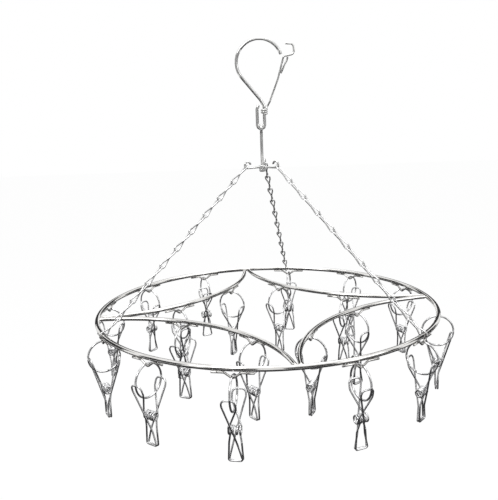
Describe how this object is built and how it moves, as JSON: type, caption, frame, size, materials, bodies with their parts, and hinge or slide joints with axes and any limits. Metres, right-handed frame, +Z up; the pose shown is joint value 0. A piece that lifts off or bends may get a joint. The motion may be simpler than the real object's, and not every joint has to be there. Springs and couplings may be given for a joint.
{
  "type": "clip drying hanger",
  "caption": "Round drying hanger of bent stainless wire: a gated hook and swivel stem carry a frame on chains, with small spring clips on rings all round it.",
  "frame": {"origin": "seat of the hook: the inside of its bend at the top, on the stem's axis", "axes": "+Z up along the stem, +X towards the hook's mouth and gate, +Y away from the side the gate's finger curl lies on"},
  "size_m": [0.3666, 0.3666, 0.3479],
  "materials": {
    "frame_wire": "bright drawn stainless wire, bent and spot welded",
    "chain": "bright thin stainless wire links",
    "clip_spring": "bright hard-drawn stainless spring wire"
  },
  "bodies": {
    "hook": {"hook": "frame_wire", "gate_root": "frame_wire"},
    "gate": {"gate": "frame_wire"},
    "stem": {"stem": "frame_wire"},
    "frame": {"spreader": "frame_wire", "chain_1": "chain", "chain_2": "chain", "chain_3": "chain", "outer_ring": "frame_wire", "arc_1": "frame_wire", "arc_2": "frame_wire", "arc_3": "frame_wire", "arc_4": "frame_wire", "ring_eyes_1": "frame_wire", "ring_eyes_2": "frame_wire", "ring_eyes_3": "frame_wire", "ring_eyes_4": "frame_wire", "arc_eyes": "frame_wire"},
    "clip_01": {"clip_01_fixed": "clip_spring"},
    "clip_01_lever": {"clip_01_free": "clip_spring"},
    "clip_02": {"clip_02_fixed": "clip_spring"},
    "clip_02_lever": {"clip_02_free": "clip_spring"},
    "clip_03": {"clip_03_fixed": "clip_spring"},
    "clip_03_lever": {"clip_03_free": "clip_spring"},
    "clip_04": {"clip_04_fixed": "clip_spring"},
    "clip_04_lever": {"clip_04_free": "clip_spring"},
    "clip_05": {"clip_05_fixed": "clip_spring"},
    "clip_05_lever": {"clip_05_free": "clip_spring"},
    "clip_06": {"clip_06_fixed": "clip_spring"},
    "clip_06_lever": {"clip_06_free": "clip_spring"},
    "clip_07": {"clip_07_fixed": "clip_spring"},
    "clip_07_lever": {"clip_07_free": "clip_spring"},
    "clip_08": {"clip_08_fixed": "clip_spring"},
    "clip_08_lever": {"clip_08_free": "clip_spring"},
    "clip_09": {"clip_09_fixed": "clip_spring"},
    "clip_09_lever": {"clip_09_free": "clip_spring"},
    "clip_10": {"clip_10_fixed": "clip_spring"},
    "clip_10_lever": {"clip_10_free": "clip_spring"},
    "clip_11": {"clip_11_fixed": "clip_spring"},
    "clip_11_lever": {"clip_11_free": "clip_spring"},
    "clip_12": {"clip_12_fixed": "clip_spring"},
    "clip_12_lever": {"clip_12_free": "clip_spring"},
    "clip_13": {"clip_13_fixed": "clip_spring"},
    "clip_13_lever": {"clip_13_free": "clip_spring"},
    "clip_14": {"clip_14_fixed": "clip_spring"},
    "clip_14_lever": {"clip_14_free": "clip_spring"},
    "clip_15": {"clip_15_fixed": "clip_spring"},
    "clip_15_lever": {"clip_15_free": "clip_spring"},
    "clip_16": {"clip_16_fixed": "clip_spring"},
    "clip_16_lever": {"clip_16_free": "clip_spring"},
    "clip_17": {"clip_17_fixed": "clip_spring"},
    "clip_17_lever": {"clip_17_free": "clip_spring"},
    "clip_18": {"clip_18_fixed": "clip_spring"},
    "clip_18_lever": {"clip_18_free": "clip_spring"},
    "clip_19": {"clip_19_fixed": "clip_spring"},
    "clip_19_lever": {"clip_19_free": "clip_spring"},
    "clip_20": {"clip_20_fixed": "clip_spring"},
    "clip_20_lever": {"clip_20_free": "clip_spring"}
  },
  "joints": [
    {"name": "gate_hinge", "type": "hinge", "parent": "hook", "child": "gate", "pos_m": [0.0065, 0, -0.062], "axis": [0, -1, 0], "range_deg": [0, 22], "stiffness_Nm_per_rad": 0.02, "springref_deg": -20.05},
    {"name": "stem_swing", "type": "hinge", "parent": "hook", "child": "stem", "pos_m": [0, 0, -0.0831], "axis": [1, 0, 0], "range_deg": [-20, 20]},
    {"name": "frame_swivel", "type": "hinge", "parent": "stem", "child": "frame", "pos_m": [0, 0, -0.1205], "axis": [0, 0, 1], "continuous": true},
    {"name": "clip_01_swing", "type": "hinge", "parent": "frame", "child": "clip_01", "pos_m": [0.15475, 0.07216, -0.27202], "axis": [-0.4226, 0.9063, 0], "range_deg": [-25, 25]},
    {"name": "clip_01_open", "type": "hinge", "parent": "clip_01", "child": "clip_01_lever", "pos_m": [0.15475, 0.07216, -0.31704], "axis": [-0.4226, 0.9063, 0], "range_deg": [0, 18], "stiffness_Nm_per_rad": 0.2, "springref_deg": -40.11},
    {"name": "clip_02_swing", "type": "hinge", "parent": "frame", "child": "clip_02", "pos_m": [0.10512, 0.13455, -0.27202], "axis": [-0.788, 0.6157, 0], "range_deg": [-25, 25]},
    {"name": "clip_02_open", "type": "hinge", "parent": "clip_02", "child": "clip_02_lever", "pos_m": [0.10512, 0.13455, -0.31704], "axis": [-0.788, 0.6157, 0], "range_deg": [0, 18], "stiffness_Nm_per_rad": 0.2, "springref_deg": -40.11},
    {"name": "clip_03_swing", "type": "hinge", "parent": "frame", "child": "clip_03", "pos_m": [0.03258, 0.16761, -0.27202], "axis": [-0.9816, 0.1908, 0], "range_deg": [-25, 25]},
    {"name": "clip_03_open", "type": "hinge", "parent": "clip_03", "child": "clip_03_lever", "pos_m": [0.03258, 0.16761, -0.31704], "axis": [-0.9816, 0.1908, 0], "range_deg": [0, 18], "stiffness_Nm_per_rad": 0.2, "springref_deg": -40.11},
    {"name": "clip_04_swing", "type": "hinge", "parent": "frame", "child": "clip_04", "pos_m": [-0.07216, 0.15475, -0.27202], "axis": [-0.9063, -0.4226, 0], "range_deg": [-25, 25]},
    {"name": "clip_04_open", "type": "hinge", "parent": "clip_04", "child": "clip_04_lever", "pos_m": [-0.07216, 0.15475, -0.31704], "axis": [-0.9063, -0.4226, 0], "range_deg": [0, 18], "stiffness_Nm_per_rad": 0.2, "springref_deg": -40.11},
    {"name": "clip_05_swing", "type": "hinge", "parent": "frame", "child": "clip_05", "pos_m": [-0.13455, 0.10512, -0.27202], "axis": [-0.6157, -0.788, 0], "range_deg": [-25, 25]},
    {"name": "clip_05_open", "type": "hinge", "parent": "clip_05", "child": "clip_05_lever", "pos_m": [-0.13455, 0.10512, -0.31704], "axis": [-0.6157, -0.788, 0], "range_deg": [0, 18], "stiffness_Nm_per_rad": 0.2, "springref_deg": -40.11},
    {"name": "clip_06_swing", "type": "hinge", "parent": "frame", "child": "clip_06", "pos_m": [-0.16761, 0.03258, -0.27202], "axis": [-0.1908, -0.9816, 0], "range_deg": [-25, 25]},
    {"name": "clip_06_open", "type": "hinge", "parent": "clip_06", "child": "clip_06_lever", "pos_m": [-0.16761, 0.03258, -0.31704], "axis": [-0.1908, -0.9816, 0], "range_deg": [0, 18], "stiffness_Nm_per_rad": 0.2, "springref_deg": -40.11},
    {"name": "clip_07_swing", "type": "hinge", "parent": "frame", "child": "clip_07", "pos_m": [-0.15475, -0.07216, -0.27202], "axis": [0.4226, -0.9063, 0], "range_deg": [-25, 25]},
    {"name": "clip_07_open", "type": "hinge", "parent": "clip_07", "child": "clip_07_lever", "pos_m": [-0.15475, -0.07216, -0.31704], "axis": [0.4226, -0.9063, 0], "range_deg": [0, 18], "stiffness_Nm_per_rad": 0.2, "springref_deg": -40.11},
    {"name": "clip_08_swing", "type": "hinge", "parent": "frame", "child": "clip_08", "pos_m": [-0.10512, -0.13455, -0.27202], "axis": [0.788, -0.6157, 0], "range_deg": [-25, 25]},
    {"name": "clip_08_open", "type": "hinge", "parent": "clip_08", "child": "clip_08_lever", "pos_m": [-0.10512, -0.13455, -0.31704], "axis": [0.788, -0.6157, 0], "range_deg": [0, 18], "stiffness_Nm_per_rad": 0.2, "springref_deg": -40.11},
    {"name": "clip_09_swing", "type": "hinge", "parent": "frame", "child": "clip_09", "pos_m": [-0.03258, -0.16761, -0.27202], "axis": [0.9816, -0.1908, 0], "range_deg": [-25, 25]},
    {"name": "clip_09_open", "type": "hinge", "parent": "clip_09", "child": "clip_09_lever", "pos_m": [-0.03258, -0.16761, -0.31704], "axis": [0.9816, -0.1908, 0], "range_deg": [0, 18], "stiffness_Nm_per_rad": 0.2, "springref_deg": -40.11},
    {"name": "clip_10_swing", "type": "hinge", "parent": "frame", "child": "clip_10", "pos_m": [0.07216, -0.15475, -0.27202], "axis": [0.9063, 0.4226, 0], "range_deg": [-25, 25]},
    {"name": "clip_10_open", "type": "hinge", "parent": "clip_10", "child": "clip_10_lever", "pos_m": [0.07216, -0.15475, -0.31704], "axis": [0.9063, 0.4226, 0], "range_deg": [0, 18], "stiffness_Nm_per_rad": 0.2, "springref_deg": -40.11},
    {"name": "clip_11_swing", "type": "hinge", "parent": "frame", "child": "clip_11", "pos_m": [0.13455, -0.10512, -0.27202], "axis": [0.6157, 0.788, 0], "range_deg": [-25, 25]},
    {"name": "clip_11_open", "type": "hinge", "parent": "clip_11", "child": "clip_11_lever", "pos_m": [0.13455, -0.10512, -0.31704], "axis": [0.6157, 0.788, 0], "range_deg": [0, 18], "stiffness_Nm_per_rad": 0.2, "springref_deg": -40.11},
    {"name": "clip_12_swing", "type": "hinge", "parent": "frame", "child": "clip_12", "pos_m": [0.16761, -0.03258, -0.27202], "axis": [0.1908, 0.9816, 0], "range_deg": [-25, 25]},
    {"name": "clip_12_open", "type": "hinge", "parent": "clip_12", "child": "clip_12_lever", "pos_m": [0.16761, -0.03258, -0.31704], "axis": [0.1908, 0.9816, 0], "range_deg": [0, 18], "stiffness_Nm_per_rad": 0.2, "springref_deg": -40.11},
    {"name": "clip_13_swing", "type": "hinge", "parent": "frame", "child": "clip_13", "pos_m": [0.0842, 0.03769, -0.27177], "axis": [0.914, -0.4057, 0], "range_deg": [-18, 18]},
    {"name": "clip_13_open", "type": "hinge", "parent": "clip_13", "child": "clip_13_lever", "pos_m": [0.0842, 0.03769, -0.31679], "axis": [0.914, -0.4057, 0], "range_deg": [0, 18], "stiffness_Nm_per_rad": 0.2, "springref_deg": -40.11},
    {"name": "clip_14_swing", "type": "hinge", "parent": "frame", "child": "clip_14", "pos_m": [0.0162, 0.09081, -0.27177], "axis": [0.6148, -0.7887, 0], "range_deg": [-18, 18]},
    {"name": "clip_14_open", "type": "hinge", "parent": "clip_14", "child": "clip_14_lever", "pos_m": [0.0162, 0.09081, -0.31679], "axis": [0.6148, -0.7887, 0], "range_deg": [0, 18], "stiffness_Nm_per_rad": 0.2, "springref_deg": -40.11},
    {"name": "clip_15_swing", "type": "hinge", "parent": "frame", "child": "clip_15", "pos_m": [-0.03769, 0.0842, -0.27177], "axis": [0.4057, 0.914, 0], "range_deg": [-18, 18]},
    {"name": "clip_15_open", "type": "hinge", "parent": "clip_15", "child": "clip_15_lever", "pos_m": [-0.03769, 0.0842, -0.31679], "axis": [0.4057, 0.914, 0], "range_deg": [0, 18], "stiffness_Nm_per_rad": 0.2, "springref_deg": -40.11},
    {"name": "clip_16_swing", "type": "hinge", "parent": "frame", "child": "clip_16", "pos_m": [-0.09081, 0.0162, -0.27177], "axis": [0.7887, 0.6148, 0], "range_deg": [-18, 18]},
    {"name": "clip_16_open", "type": "hinge", "parent": "clip_16", "child": "clip_16_lever", "pos_m": [-0.09081, 0.0162, -0.31679], "axis": [0.7887, 0.6148, 0], "range_deg": [0, 18], "stiffness_Nm_per_rad": 0.2, "springref_deg": -40.11},
    {"name": "clip_17_swing", "type": "hinge", "parent": "frame", "child": "clip_17", "pos_m": [-0.0842, -0.03769, -0.27177], "axis": [-0.914, 0.4057, 0], "range_deg": [-18, 18]},
    {"name": "clip_17_open", "type": "hinge", "parent": "clip_17", "child": "clip_17_lever", "pos_m": [-0.0842, -0.03769, -0.31679], "axis": [-0.914, 0.4057, 0], "range_deg": [0, 18], "stiffness_Nm_per_rad": 0.2, "springref_deg": -40.11},
    {"name": "clip_18_swing", "type": "hinge", "parent": "frame", "child": "clip_18", "pos_m": [-0.0162, -0.09081, -0.27177], "axis": [-0.6148, 0.7887, 0], "range_deg": [-18, 18]},
    {"name": "clip_18_open", "type": "hinge", "parent": "clip_18", "child": "clip_18_lever", "pos_m": [-0.0162, -0.09081, -0.31679], "axis": [-0.6148, 0.7887, 0], "range_deg": [0, 18], "stiffness_Nm_per_rad": 0.2, "springref_deg": -40.11},
    {"name": "clip_19_swing", "type": "hinge", "parent": "frame", "child": "clip_19", "pos_m": [0.03769, -0.0842, -0.27177], "axis": [-0.4057, -0.914, 0], "range_deg": [-18, 18]},
    {"name": "clip_19_open", "type": "hinge", "parent": "clip_19", "child": "clip_19_lever", "pos_m": [0.03769, -0.0842, -0.31679], "axis": [-0.4057, -0.914, 0], "range_deg": [0, 18], "stiffness_Nm_per_rad": 0.2, "springref_deg": -40.11},
    {"name": "clip_20_swing", "type": "hinge", "parent": "frame", "child": "clip_20", "pos_m": [0.09081, -0.0162, -0.27177], "axis": [-0.7887, -0.6148, 0], "range_deg": [-18, 18]},
    {"name": "clip_20_open", "type": "hinge", "parent": "clip_20", "child": "clip_20_lever", "pos_m": [0.09081, -0.0162, -0.31679], "axis": [-0.7887, -0.6148, 0], "range_deg": [0, 18], "stiffness_Nm_per_rad": 0.2, "springref_deg": -40.11}
  ]
}
